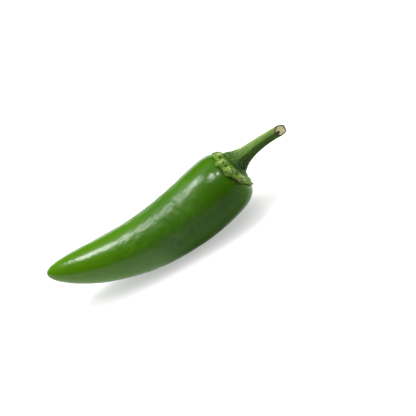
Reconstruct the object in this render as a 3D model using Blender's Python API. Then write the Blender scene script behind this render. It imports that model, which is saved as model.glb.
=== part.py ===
"""A green chilli pepper of the jalapeno kind, lying on its belly on a flat surface.

It is three pieces: the bent, faintly three-sided pod, the crinkled calyx that caps its
crown, and the ridged stem with its slanting cut. All of them are shaped in the pod's own
growing frame, with the tip at the origin and the crown towards +X, and hang on one empty
that turns the pepper over to the side it rests on. Metres, +Z up.
"""

import math

import bmesh
import bpy
from mathutils import Matrix, Vector, noise

# Pod: a bullet shape round a bent axis, from the tip (station 0) to the crown (station 1).
POD_LENGTH = 0.0888
POD_RADIUS = 0.0128
TAPER = 2.01
TIP_ROUNDNESS = 1.94
SHOULDER = 19.6
CROWN_FLATNESS = 2.2
CROWN_SINK = 0.0017
SINK_RADIUS = 0.0102
SINK_SLOPE = 0.6
TIP_HEADING = math.radians(-18)
BEND = math.radians(33.8)
LOBES = 3
LOBE_DEPTH = 0.025
LOBE_START = math.radians(27)
DIMPLE_DEPTH = 0.00025
DIMPLE_SIZE = 0.016
POD_RINGS = 48
POD_SIDES = 44
AXIS_STEPS = 240

# Calyx: a thin cap draped over the crown, with a puffed and toothed margin.
GAP = 0.0003
CALYX_REACH = math.radians(21.5)
FRONT_REACH = 0.30
FRONT_TURN = math.radians(70)
FRONT_NARROWNESS = 5
CALYX_EDGE = 0.00032
CALYX_PUFFS = 10
PUFF_HEIGHT = 0.00060
PUFF_PLACE = 0.72
PUFF_SPREAD = 0.15
CREASE_DEPTH = 0.00025
MARGIN_WAVE = 0.045
TOOTH_REACH = 0.11
SEAT_RADIUS = 0.0047
SEAT_EDGE = 0.0020
SEAT_LEVEL = -0.0005
CALYX_RINGS = 20
CALYX_SIDES = 80

# Stem: a ridged rod that flares into the calyx and bends away from the pod's axis.
STEM_OFFSET = 0.0013
STEM_LENGTH = 0.0239
STEM_RADIUS = 0.0021
STEM_FLARE = 0.00285
FLARE_LENGTH = 0.0043
FLARE_LEAN = 0.22
STEM_TAPER = 0.09
STEM_RIDGES = 5
RIDGE_DEPTH = 0.085
RIDGE_START = math.radians(92)
STEM_END_TURN = (math.radians(-20.5), math.radians(18))
CUT_SHARE = 0.90
CUT_SLANT = math.radians(37)
PITH_INSET = 0.00050
PITH_DEPTH = 0.00025
STEM_RINGS = 24
STEM_SIDES = 35

# Rest: the pepper leans back on its belly and touches down on one flat spot.
LEAN = math.radians(27)
FLAT_DEPTH = 0.00045
SHARP_EDGE = math.radians(40)


def smooth(x):
    """Eases from 0 to 1."""
    x = min(max(x, 0.0), 1.0)
    return x * x * (3 - 2 * x)


def clear_scene():
    for obj in list(bpy.data.objects):
        bpy.data.objects.remove(obj, do_unlink=True)


def material(name, colour, roughness):
    """A plain finish with the part's colour."""
    made = bpy.data.materials.new(name)
    made.use_nodes = True
    shader = made.node_tree.nodes["Principled BSDF"]
    shader.inputs["Base Color"].default_value = (*colour, 1)
    shader.inputs["Roughness"].default_value = roughness
    shader.inputs["Metallic"].default_value = 0
    return made


def heading(station):
    """The axis's angle above the horizontal: most of the bend is halfway along."""
    return TIP_HEADING + BEND * smooth(station)


def direction(station):
    angle = heading(station)
    return Vector((math.cos(angle), 0, math.sin(angle)))


def axis_points():
    """The bent axis as evenly spaced points from the tip to the crown."""
    points = [Vector((0, 0, 0))]
    for step in range(AXIS_STEPS):
        halfway = (step + 0.5) / AXIS_STEPS
        points.append(points[-1] + direction(halfway) * POD_LENGTH / AXIS_STEPS)
    return points


AXIS = axis_points()


def axis_point(station):
    """A point on the axis. Past the crown the axis runs on straight."""
    place = min(max(station, 0.0), 1.0) * AXIS_STEPS
    step = min(int(place), AXIS_STEPS - 1)
    point = AXIS[step].lerp(AXIS[step + 1], place - step)
    return point + direction(1) * max(station - 1, 0) * POD_LENGTH


def section_direction(station, around):
    """The unit vector across the axis: 0 is the hollow side, a quarter turn faces -Y."""
    angle = heading(station)
    upward = Vector((-math.sin(angle), 0, math.cos(angle)))
    return upward * math.cos(around) + Vector((0, -1, 0)) * math.sin(around)


def bullet(station):
    """The radius along the pod as a share: a blunt taper times a square shoulder."""
    taper = (1 - (1 - station) ** TAPER) ** (1 / TIP_ROUNDNESS)
    return taper * (1 - station**SHOULDER) ** (1 / CROWN_FLATNESS)


WIDEST = max(bullet(step / AXIS_STEPS) for step in range(AXIS_STEPS))


def outline(polar):
    """Station along the axis and radius, for an angle of 0 at the tip and pi at the crown.

    The crown sinks in a little round the stem.
    """
    station = (1 - math.cos(polar)) / 2
    radius = POD_RADIUS * bullet(min(station, 1.0)) / WIDEST
    if polar > math.pi / 2:
        sink = CROWN_SINK * smooth((1 - radius / SINK_RADIUS) / SINK_SLOPE)
        station -= sink / POD_LENGTH
    return station, radius


def lobed(station, around):
    """The three chambers show as soft ridges that fade towards the tip."""
    return 1 + LOBE_DEPTH * smooth(station) * math.cos(LOBES * (around - LOBE_START))


def skin_point(polar, around, lift=0.0):
    """A point of the pod's skin, lifted off it square to the outline."""
    station, radius = outline(polar)
    step = 0.002
    before, after = outline(max(polar - step, 0)), outline(min(polar + step, math.pi))
    along = (after[0] - before[0]) * POD_LENGTH
    outward = after[1] - before[1]
    slope = math.hypot(along, outward)
    station -= lift * outward / slope / POD_LENGTH
    radius = radius * lobed(station, around) + lift * along / slope
    return axis_point(station) + section_direction(station, around) * radius


def sphere(sides, rings):
    """A round start for a soft form: its points are then moved by a rule."""
    form = bmesh.new()
    bmesh.ops.create_uvsphere(form, u_segments=sides, v_segments=rings, radius=1)
    return form


def finished(name, form, finish, collection, empty):
    """Turns a form into a named object with smooth faces that point outwards."""
    form.normal_update()
    bmesh.ops.recalc_face_normals(form, faces=form.faces)
    mesh = bpy.data.meshes.new(name)
    form.to_mesh(mesh)
    form.free()
    mesh.shade_smooth()
    mesh.set_sharp_from_angle(angle=SHARP_EDGE)
    mesh.materials.append(finish)
    obj = bpy.data.objects.new(name, mesh)
    obj.parent = empty
    collection.objects.link(obj)
    return obj


def build_pod(collection, empty):
    """The fruit: a sphere drawn out along the bent axis, with shallow dimples."""
    form = sphere(POD_SIDES, POD_RINGS)
    for vert in form.verts:
        polar = math.acos(max(-1.0, min(1.0, -vert.co.z)))
        around = math.atan2(vert.co.y, vert.co.x)
        unevenness = noise.noise(skin_point(polar, around) / DIMPLE_SIZE)
        vert.co = skin_point(polar, around, DIMPLE_DEPTH * unevenness * math.sin(polar))
    finish = material("green_skin", (0.075, 0.175, 0.012), 0.25)
    return finished("pod", form, finish, collection, empty)


def crease_turn(around):
    """A whole turn from one crease of the calyx to the next. They are unevenly spaced."""
    uneven = 0.236 * math.sin(around - 1.043) + 0.098 * math.sin(2 * around - 1.291)
    return CALYX_PUFFS * (around + uneven - 0.0925)


def margin(around):
    """How far the margin reaches: waves over the puffs, and a short tooth in every crease."""
    tooth = max(0.0, math.cos(crease_turn(around))) ** 10
    return 1 - MARGIN_WAVE * math.cos(crease_turn(around)) + TOOTH_REACH * tooth


def calyx_reach(around):
    """Angle from the pod's axis to the calyx's even edge, which is further out at the front."""
    front = ((1 + math.cos(around - FRONT_TURN)) / 2) ** FRONT_NARROWNESS
    return CALYX_REACH * (1 + FRONT_REACH * front)


def calyx_relief(reach, around):
    """Height of the calyx's upper face over an even cap: puffs with a crease between them."""
    turn = crease_turn(around)
    puff = PUFF_HEIGHT * (0.5 - 0.5 * math.cos(turn)) ** 0.8
    crease = CREASE_DEPTH * max(0.0, math.cos(turn)) ** 2
    return (puff - crease) * math.exp(-(((reach - PUFF_PLACE) / PUFF_SPREAD) ** 2))


def stem_root():
    """Middle of the seat, a little to the hollow side of the pod's axis."""
    return axis_point(1) + section_direction(1, 0) * STEM_OFFSET + direction(1) * SEAT_LEVEL


def to_seat(point):
    """The move that levels the cap round the stem, so that the stem stands on a flat seat."""
    away = stem_root() - point
    below = away.dot(direction(1))
    aside = (away - direction(1) * below).length
    return direction(1) * below * (1 - smooth((aside - SEAT_RADIUS) / SEAT_EDGE))


def build_calyx(collection, empty):
    """The cap: a flattened sphere draped over the crown a hair above the skin."""
    form = sphere(CALYX_SIDES, CALYX_RINGS)
    for vert in form.verts:
        height = vert.co.z
        reach = math.hypot(vert.co.x, vert.co.y)
        around = math.atan2(vert.co.y, vert.co.x)
        polar = math.pi - calyx_reach(around) * reach * (1 + (margin(around) - 1) * smooth(reach))
        edge = CALYX_EDGE * math.copysign(abs(height) ** 0.6, height)
        lift = GAP + CALYX_EDGE + edge
        if height > 0:
            lift += calyx_relief(reach, around) * smooth(height / 0.35)
        point = skin_point(polar, around, lift)
        if height > 0:
            point += to_seat(point)
        vert.co = point
    finish = material("calyx_green", (0.12, 0.22, 0.03), 0.5)
    return finished("calyx", form, finish, collection, empty)


def turned(turn):
    """The crown's direction, turned towards the hollow side and towards -Y."""
    rise, out = turn
    angle = heading(1) + rise
    level = Vector((math.cos(angle), 0, math.sin(angle)))
    return (level * math.cos(out) + Vector((0, -1, 0)) * math.sin(out)).normalized()


def stem_path(share):
    """Point and direction along the stem, which bends evenly from its start to its end."""
    start, end = direction(1), turned(STEM_END_TURN)
    root = stem_root() + start * GAP
    point = root + (start * share + (end - start) * share * share / 2) * STEM_LENGTH
    return point, start.lerp(end, share).normalized()


def stem_sides(share):
    """The two directions across the stem: away from the hollow side, and out towards -Y."""
    ahead = stem_path(share)[1]
    downward = ahead.cross(Vector((0, -1, 0))).normalized()
    return downward, downward.cross(ahead)


def stem_radius(share, around):
    """A trumpet at the calyx, wider on the hollow side, then a ridged rod that tapers a little."""
    wider = 1 - FLARE_LEAN * math.cos(around)
    flare = STEM_FLARE * wider * math.exp(-share * STEM_LENGTH / FLARE_LENGTH)
    ridge = RIDGE_DEPTH * (1.3 - 0.8 * share) * math.cos(STEM_RIDGES * (around - RIDGE_START))
    return (STEM_RADIUS * (1 - STEM_TAPER * share) + flare) * (1 + ridge)


def stem_ring(form, share):
    """One ring of points round the stem."""
    downward, outward = stem_sides(share)
    ring = []
    for side in range(STEM_SIDES):
        around = math.tau * side / STEM_SIDES
        across = downward * math.cos(around) + outward * math.sin(around)
        ring.append(form.verts.new(stem_path(share)[0] + across * stem_radius(share, around)))
    return ring


def build_stem(collection, empty):
    """The stem: rings of changing section along its path, cut off on a slant."""
    form = bmesh.new()
    rings = [stem_ring(form, (step / STEM_RINGS) ** 1.25) for step in range(STEM_RINGS + 1)]
    for lower, upper in zip(rings, rings[1:]):
        for side in range(STEM_SIDES):
            after = (side + 1) % STEM_SIDES
            form.faces.new((lower[side], lower[after], upper[after], upper[side]))
    form.faces.new(rings[0])
    form.faces.new(rings[-1])
    cut_slanting(form)
    finish = material("stem_green", (0.13, 0.24, 0.04), 0.45)
    return finished("stem", form, finish, collection, empty)


def slice_off(form, place, outward):
    """Cuts everything beyond a plane off a form and closes the cut with one flat face."""
    geometry = form.verts[:] + form.edges[:] + form.faces[:]
    done = bmesh.ops.bisect_plane(form, geom=geometry, plane_co=place, plane_no=outward, clear_outer=True)
    edges = [item for item in done["geom_cut"] if isinstance(item, bmesh.types.BMEdge)]
    return bmesh.ops.contextual_create(form, geom=edges)["faces"]


def cut_slanting(form):
    """Cuts the stem's end off on a slant and sinks the pith inside the bark's rim."""
    point, ahead = stem_path(CUT_SHARE)
    outward = stem_sides(CUT_SHARE)[1]
    face = slice_off(form, point, ahead * math.cos(CUT_SLANT) + outward * math.sin(CUT_SLANT))
    bmesh.ops.inset_region(form, faces=face, thickness=PITH_INSET, depth=-PITH_DEPTH, use_even_offset=True)


def flatten(pod, to_pod):
    """Slices the belly off at the surface that the pepper rests on."""
    form = bmesh.new()
    form.from_mesh(pod.data)
    slice_off(form, to_pod @ Vector((0, 0, 0)), to_pod.to_3x3() @ Vector((0, 0, -1)))
    form.to_mesh(pod.data)
    form.free()


def lay_down(pod, pieces, empty):
    """Turns the pepper onto its belly, its flat spot at height 0 and its middle over the origin."""
    turn = Matrix.Rotation(-LEAN, 4, "X")
    points = [turn @ vert.co for piece in pieces for vert in piece.data.vertices]
    low = [min(point[axis] for point in points) for axis in range(3)]
    high = [max(point[axis] for point in points) for axis in range(3)]
    empty.rotation_euler = (-LEAN, 0, 0)
    empty.location = (-(low[0] + high[0]) / 2, -(low[1] + high[1]) / 2, -low[2] - FLAT_DEPTH)
    flatten(pod, (Matrix.Translation(empty.location) @ turn).inverted())


def main():
    clear_scene()
    collection = bpy.data.collections.new("chilli_pepper")
    bpy.context.scene.collection.children.link(collection)
    empty = bpy.data.objects.new("lying", None)
    collection.objects.link(empty)
    pod = build_pod(collection, empty)
    calyx = build_calyx(collection, empty)
    stem = build_stem(collection, empty)
    lay_down(pod, [pod, calyx, stem], empty)


main()
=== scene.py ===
"""A green chilli pepper on a white table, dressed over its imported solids.

The pod, the crinkled calyx and the cut stem are made again at full detail from the same rules
as the solids, and take their places. Sizes are metres. Every piece is shaped in the pepper's
own growing frame, with the tip at the origin and the crown towards +X, and is then laid down
on its belly by one turn and one move.
"""

from __future__ import annotations

import logging
import math
import random
from collections.abc import Sequence
from dataclasses import dataclass, field
from enum import Enum

import bmesh
import bpy
from mathutils import Matrix, Vector, noise

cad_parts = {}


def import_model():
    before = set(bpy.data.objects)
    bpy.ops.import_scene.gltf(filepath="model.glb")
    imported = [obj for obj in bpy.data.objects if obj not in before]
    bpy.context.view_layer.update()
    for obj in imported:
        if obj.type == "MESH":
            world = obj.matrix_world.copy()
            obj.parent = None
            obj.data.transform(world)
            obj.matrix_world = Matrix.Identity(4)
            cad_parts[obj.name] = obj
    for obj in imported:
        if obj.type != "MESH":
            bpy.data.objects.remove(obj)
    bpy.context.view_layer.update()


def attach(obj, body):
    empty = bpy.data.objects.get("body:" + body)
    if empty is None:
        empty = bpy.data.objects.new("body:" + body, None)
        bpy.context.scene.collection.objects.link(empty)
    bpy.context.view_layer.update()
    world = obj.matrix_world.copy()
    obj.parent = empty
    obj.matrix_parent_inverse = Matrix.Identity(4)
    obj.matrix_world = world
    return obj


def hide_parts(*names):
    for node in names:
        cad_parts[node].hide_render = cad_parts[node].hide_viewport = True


LOG = logging.getLogger("chilli")
BODY = "root"
GAP = 0.0003

NUMBER = "NodeSocketFloat"
COUNT = "NodeSocketInt"
COLOUR = "NodeSocketColor"
SHAPE = "NodeSocketGeometry"
FINISH = "NodeSocketMaterial"
ARROW = "NodeSocketVector"

Value = object
Socket = bpy.types.NodeSocket
Colour = tuple[float, float, float]


class Slot(Enum):
    """The record's material slots."""

    SKIN = "green_skin"
    CALYX = "calyx_green"
    STEM = "stem_green"


class Shine(Enum):
    """What a studio light does: lights, is mirrored in gloss, or both."""

    BOTH = "both"
    FILL = "lights without a mirror image"
    GLINT = "is mirrored without lighting"


def ease(x: float) -> float:
    """Eases from 0 to 1."""
    x = min(max(x, 0.0), 1.0)
    return x * x * (3 - 2 * x)


def bell(x: float, middle: float, spread: float) -> float:
    """A bell of height 1 at its middle."""
    return math.exp(-(((x - middle) / spread) ** 2))


@dataclass(frozen=True)
class Band:
    """A smooth step from first, where a value is at low, to last, where it is at high."""

    low: float
    high: float
    first: float = 0.0
    last: float = 1.0

    def at(self, value: float) -> float:
        """The step's result for a plain number."""
        return self.first + (self.last - self.first) * ease((value - self.low) / (self.high - self.low))


class Graph:
    """Writes a node tree as plain expressions.

    Args:
        tree: the shader or geometry tree to fill.
    """

    def __init__(self, tree: bpy.types.NodeTree) -> None:
        """Keeps the tree."""
        self.tree = tree

    def add(self, kind: str, **settings: Value) -> bpy.types.Node:
        """Adds a node.

        Args:
            kind: the node's type, such as ShaderNodeMath.
            settings: properties to set on it.

        Returns:
            The new node.
        """
        node = self.tree.nodes.new(kind)
        for name, value in settings.items():
            setattr(node, name, value)
        place = len(self.tree.nodes)
        node.location = (180 * (place % 12), -240 * (place // 12))
        return node

    def feed(self, socket: Socket, value: Value) -> None:
        """Links an output to a socket, or sets a plain value on it."""
        if isinstance(value, Socket):
            self.tree.links.new(value, socket)
        else:
            socket.default_value = value

    def call(
        self, kind: str, inputs: dict[str | int, Value], output: str | int = 0, **settings: Value
    ) -> Socket:
        """Adds a node, feeds some of its inputs and gives one output.

        Args:
            kind: the node's type.
            inputs: input name or number to value or socket.
            output: the output's name or number.
            settings: properties to set before the inputs.

        Returns:
            The output socket.
        """
        node = self.add(kind, **settings)
        for key, value in inputs.items():
            self.feed(node.inputs[key], value)
        return node.outputs[output]

    def math(self, operation: str, *values: Value) -> Socket:
        """A Math node over one to three numbers."""
        return self.call("ShaderNodeMath", dict(enumerate(values)), operation=operation)

    def vector(self, operation: str, *values: Value) -> Socket:
        """A Vector Math node over vectors. SCALE takes a vector and a factor."""
        if operation == "SCALE":
            inputs = {0: values[0], "Scale": values[1]}
        else:
            inputs = dict(enumerate(values))
        return self.call("ShaderNodeVectorMath", inputs, operation=operation)

    def total(self, *values: Value) -> Socket:
        """The sum of several numbers."""
        result = values[0]
        for value in values[1:]:
            result = self.math("ADD", result, value)
        return result

    def product(self, *values: Value) -> Socket:
        """The product of several numbers."""
        result = values[0]
        for value in values[1:]:
            result = self.math("MULTIPLY", result, value)
        return result

    def ramp(
        self, value: Value, low: float, high: float, first: float = 0.0, last: float = 1.0
    ) -> Socket:
        """Eases from first, where the value is at low, to last, where it is at high."""
        inputs = {"Value": value, "From Min": low, "From Max": high, "To Min": first, "To Max": last}
        return self.call("ShaderNodeMapRange", inputs, interpolation_type="SMOOTHSTEP")

    def step(self, value: Value, band: Band) -> Socket:
        """A band's smooth step of a value."""
        return self.ramp(value, band.low, band.high, band.first, band.last)

    def noise(self, place: Value, scale: Value, detail: float = 2.0, rough: float = 0.5) -> Socket:
        """Smooth random values from 0 to 1, with a middle of 0.5."""
        inputs = {"Vector": place, "Scale": scale, "Detail": detail, "Roughness": rough}
        return self.call("ShaderNodeTexNoise", inputs)

    def blend(self, share: Value, first: Value, second: Value) -> Socket:
        """A colour between two others."""
        inputs = {0: share, 6: first, 7: second}
        return self.call("ShaderNodeMix", inputs, output=2, data_type="RGBA")


def new_tree(
    name: str, kind: str, inputs: dict[str, tuple[str, Value]], outputs: dict[str, str]
) -> tuple[Graph, Value, bpy.types.Node]:
    """Starts a node group with named sockets.

    Args:
        name: the group's name.
        kind: ShaderNodeTree or GeometryNodeTree.
        inputs: socket name to its kind and default.
        outputs: socket name to its kind.

    Returns:
        The tree's graph, the group's input sockets and its output node.
    """
    tree = bpy.data.node_groups.new(name, kind)
    for label, (socket_kind, default) in inputs.items():
        socket = tree.interface.new_socket(label, in_out="INPUT", socket_type=socket_kind)
        if default is not None:
            socket.default_value = default
    for label, socket_kind in outputs.items():
        tree.interface.new_socket(label, in_out="OUTPUT", socket_type=socket_kind)
    graph = Graph(tree)
    return graph, graph.add("NodeGroupInput").outputs, graph.add("NodeGroupOutput")


def placed(name: str, mesh: bpy.types.Mesh) -> bpy.types.Object:
    """Puts a finished mesh into the scene as a smooth piece at the origin."""
    mesh.shade_smooth()
    piece = bpy.data.objects.new(name, mesh)
    bpy.context.scene.collection.objects.link(piece)
    return piece


def grown(
    name: str, start: bpy.types.Mesh, tree: bpy.types.NodeTree, values: dict[str, Value]
) -> bpy.types.Object:
    """Runs a geometry tree on a start mesh and keeps the result as a plain mesh object.

    Args:
        name: name of the piece.
        start: the mesh that the tree works on.
        tree: the geometry tree.
        values: values for the tree's named inputs.

    Returns:
        The finished object at the origin, without the modifier.
    """
    seed = bpy.data.objects.new(name + "_start", start)
    bpy.context.scene.collection.objects.link(seed)
    modifier = seed.modifiers.new("grow", "NODES")
    modifier.node_group = tree
    for item in tree.interface.items_tree:
        if item.item_type == "SOCKET" and item.in_out == "INPUT" and item.name in values:
            modifier[item.identifier] = values[item.name]
    graph = bpy.context.evaluated_depsgraph_get()
    mesh = bpy.data.meshes.new_from_object(seed.evaluated_get(graph), depsgraph=graph)
    bpy.data.objects.remove(seed, do_unlink=True)
    mesh.name = name
    return placed(name, mesh)


def line_mesh(name: str, lines: Sequence[Sequence[Vector]]) -> bpy.types.Mesh:
    """A mesh of open lines, for a geometry tree to follow.

    Args:
        name: the mesh's name.
        lines: the points of each line in order.

    Returns:
        The mesh, with edges alone.
    """
    points = []
    edges = []
    for line in lines:
        first = len(points)
        points.extend(line)
        edges.extend((first + step, first + step + 1) for step in range(len(line) - 1))
    mesh = bpy.data.meshes.new(name)
    mesh.from_pydata(points, edges, [])
    return mesh


def keep_values(mesh: bpy.types.Mesh, name: str, values: Sequence[float]) -> None:
    """Stores one number a point on a mesh, for its material to read."""
    mesh.attributes.new(name, "FLOAT", "POINT").data.foreach_set("value", values)


def keep_arrows(mesh: bpy.types.Mesh, name: str, arrows: Sequence[Vector]) -> None:
    """Stores one vector a point on a mesh, for its material to read."""
    flat = [part for arrow in arrows for part in arrow]
    mesh.attributes.new(name, "FLOAT_VECTOR", "POINT").data.foreach_set("vector", flat)


def closed_mesh(name: str, form: bmesh.types.BMesh, place: Matrix) -> bpy.types.Mesh:
    """Turns a closed form into a mesh whose faces point outwards, laid in its place.

    Args:
        name: the mesh's name.
        form: the closed form, which is used up.
        place: the turn and move to its place.

    Returns:
        The mesh.
    """
    form.normal_update()
    bmesh.ops.recalc_face_normals(form, faces=form.faces)
    mesh = bpy.data.meshes.new(name)
    form.to_mesh(mesh)
    form.free()
    mesh.transform(place)
    return mesh


def joined_rings(form: bmesh.types.BMesh, rings: Sequence[Sequence[bmesh.types.BMVert]]) -> None:
    """Skins rings of points one after another, and closes both ends with a fan.

    Args:
        form: the form that holds the points.
        rings: rings with the same number of points.
    """
    sides = len(rings[0])
    for lower, upper in zip(rings, rings[1:]):
        for side in range(sides):
            after = (side + 1) % sides
            form.faces.new((lower[side], lower[after], upper[after], upper[side]))
    for ring in (rings[0], rings[-1]):
        middle = form.verts.new(sum((vert.co for vert in ring), Vector()) / sides)
        for side in range(sides):
            form.faces.new((ring[side], ring[(side + 1) % sides], middle))


def dressed(piece: bpy.types.Object, finish: bpy.types.Material, stands_for: str = "") -> None:
    """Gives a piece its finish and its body.

    Args:
        piece: the finished object.
        finish: its material.
        stands_for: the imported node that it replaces, if any.
    """
    piece.data.materials.clear()
    piece.data.materials.append(finish)
    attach(piece, BODY)
    if stands_for:
        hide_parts(stands_for)
    LOG.info("%s: %d faces, %s", piece.name, len(piece.data.polygons), finish.name)


@dataclass
class Growth:
    """The rule that the whole pepper follows: a bullet outline round a bent axis."""

    length: float = 0.0888
    radius: float = 0.0128
    taper: float = 2.01
    tip_roundness: float = 1.94
    shoulder: float = 19.6
    crown_flatness: float = 2.2
    crown_sink: float = 0.0017
    sink_radius: float = 0.0102
    sink_slope: float = 0.6
    tip_heading: float = math.radians(-18)
    bend: float = math.radians(33.8)
    lobes: int = 3
    lobe_depth: float = 0.025
    lobe_start: float = math.radians(27)
    stem_offset: float = 0.0013
    seat_level: float = -0.0005
    stem_radius: float = 0.0021
    stem_flare: float = 0.00285
    flare_lean: float = 0.22
    lean: float = math.radians(27)
    place: tuple[float, float, float] = (-0.0543622, 0.0028210, 0.0189879)
    steps: int = 240
    slope_step: float = 0.002
    axis: list[Vector] = field(default_factory=list)
    widest: float = 1.0

    def __post_init__(self) -> None:
        """Walks along the bent axis once, and finds the bullet's widest place."""
        self.axis = [Vector((0, 0, 0))]
        for step in range(self.steps):
            onward = self.ahead((step + 0.5) / self.steps) * self.length / self.steps
            self.axis.append(self.axis[-1] + onward)
        self.widest = max(self.bullet(step / self.steps) for step in range(self.steps))

    def heading(self, station: float) -> float:
        """The axis's angle above the horizontal."""
        return self.tip_heading + self.bend * ease(station)

    def ahead(self, station: float) -> Vector:
        """The axis's direction."""
        angle = self.heading(station)
        return Vector((math.cos(angle), 0, math.sin(angle)))

    def on_axis(self, station: float) -> Vector:
        """A point of the axis, which runs on straight past the crown.

        Args:
            station: 0 at the tip and 1 at the crown.

        Returns:
            The point in the growing frame.
        """
        at = min(max(station, 0.0), 1.0) * self.steps
        step = min(int(at), self.steps - 1)
        point = self.axis[step].lerp(self.axis[step + 1], at - step)
        return point + self.ahead(1) * max(station - 1, 0) * self.length

    def across(self, station: float, around: float) -> Vector:
        """The unit vector across the axis.

        Args:
            station: 0 at the tip and 1 at the crown.
            around: 0 for the hollow side, a quarter turn for -Y.

        Returns:
            The vector in the growing frame.
        """
        angle = self.heading(station)
        upward = Vector((-math.sin(angle), 0, math.cos(angle)))
        return upward * math.cos(around) + Vector((0, -1, 0)) * math.sin(around)

    def bullet(self, station: float) -> float:
        """The radius along the pod as a share: a blunt taper times a square shoulder."""
        taper = (1 - (1 - station) ** self.taper) ** (1 / self.tip_roundness)
        return taper * (1 - station**self.shoulder) ** (1 / self.crown_flatness)

    def outline(self, polar: float) -> tuple[float, float]:
        """Station and radius for an angle of 0 at the tip and pi at the crown.

        Args:
            polar: the angle.

        Returns:
            The station along the axis and the radius there.
        """
        station = (1 - math.cos(polar)) / 2
        radius = self.radius * self.bullet(min(station, 1.0)) / self.widest
        if polar > math.pi / 2:
            sink = self.crown_sink * ease((1 - radius / self.sink_radius) / self.sink_slope)
            station -= sink / self.length
        return station, radius

    def skin(self, polar: float, around: float, lift: float = 0.0) -> Vector:
        """A point of the pod's skin.

        Args:
            polar: angle of 0 at the tip and pi at the crown.
            around: angle round the axis, 0 on the hollow side.
            lift: height over the skin, square to the outline.

        Returns:
            The point in the growing frame.
        """
        station, radius = self.outline(polar)
        before = self.outline(max(polar - self.slope_step, 0))
        after = self.outline(min(polar + self.slope_step, math.pi))
        along = (after[0] - before[0]) * self.length
        outward = after[1] - before[1]
        slope = math.hypot(along, outward)
        station -= lift * outward / slope / self.length
        ridge = math.cos(self.lobes * (around - self.lobe_start))
        radius *= 1 + self.lobe_depth * ease(station) * ridge
        return self.on_axis(station) + self.across(station, around) * (radius + lift * along / slope)

    def stem_root(self) -> Vector:
        """Middle of the stem's seat, a little to the hollow side of the axis."""
        side = self.across(1, 0) * self.stem_offset
        return self.on_axis(1) + side + self.ahead(1) * self.seat_level

    def foot_radius(self, around: float, shrink: float = 1.0) -> float:
        """Radius of the stem's trumpet, wider on the hollow side.

        Args:
            around: angle round the stem, 0 away from the hollow side.
            shrink: share of the flare that is left, 1 at the foot.

        Returns:
            The radius, without the stem's taper and ridges.
        """
        return self.stem_radius + self.stem_flare * (1 - self.flare_lean * math.cos(around)) * shrink

    def laid(self) -> Matrix:
        """The turn and move from the growing frame to the pepper's rest on its belly."""
        return Matrix.Translation(self.place) @ Matrix.Rotation(-self.lean, 4, "X")


def leaf_green_group() -> bpy.types.NodeTree:
    """The mottled green that the skin, the calyx and the stem share.

    Returns:
        A shader group from two greens to one colour that changes over the surface.
    """
    between_greens = Band(0.34, 0.66)
    inside_speck = Band(0.34, 0.10)
    speckled_parts = Band(0.40, 0.62)
    inputs = {
        "Deep": (COLOUR, (0.05, 0.15, 0.01, 1)),
        "Light": (COLOUR, (0.12, 0.28, 0.03, 1)),
        "Speck": (COLOUR, (0.2, 0.4, 0.05, 1)),
        "Patch Scale": (NUMBER, 60.0),
        "Speck Scale": (NUMBER, 1400.0),
        "Speck Share": (NUMBER, 0.3),
    }
    graph, given, out = new_tree("leaf_green", "ShaderNodeTree", inputs, {"Color": COLOUR})
    place = graph.call("ShaderNodeTexCoord", {}, output="Object")
    broad = graph.noise(place, given["Patch Scale"], detail=3.0)
    colour = graph.blend(graph.step(broad, between_greens), given["Deep"], given["Light"])
    cells = graph.call("ShaderNodeTexVoronoi", {"Vector": place, "Scale": given["Speck Scale"]})
    thin = graph.noise(place, given["Patch Scale"], detail=1.0)
    speck = graph.product(graph.step(cells, inside_speck), graph.step(thin, speckled_parts))
    speck = graph.product(speck, given["Speck Share"])
    graph.feed(out.inputs["Color"], graph.blend(speck, colour, given["Speck"]))
    return graph.tree


def cell_bumps_group() -> bpy.types.NodeTree:
    """The fine unevenness that all the surfaces share.

    Returns:
        A shader group that gives a height of about 0 to 1 for a Bump node.
    """
    times_finer = 4.0
    inputs = {"Vector": (ARROW, None), "Scale": (NUMBER, 700.0), "Fine Share": (NUMBER, 0.3)}
    graph, given, out = new_tree("cell_bumps", "ShaderNodeTree", inputs, {"Height": NUMBER})
    soft = graph.noise(given["Vector"], given["Scale"], detail=1.0)
    fine = graph.noise(given["Vector"], graph.math("MULTIPLY", given["Scale"], times_finer), detail=2.0)
    graph.feed(out.inputs["Height"], graph.math("MULTIPLY_ADD", fine, given["Fine Share"], soft))
    return graph.tree


@dataclass
class PlantEffects:
    """The node groups that several finishes place."""

    greens: bpy.types.NodeTree = field(default_factory=leaf_green_group)
    bumps: bpy.types.NodeTree = field(default_factory=cell_bumps_group)


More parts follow.
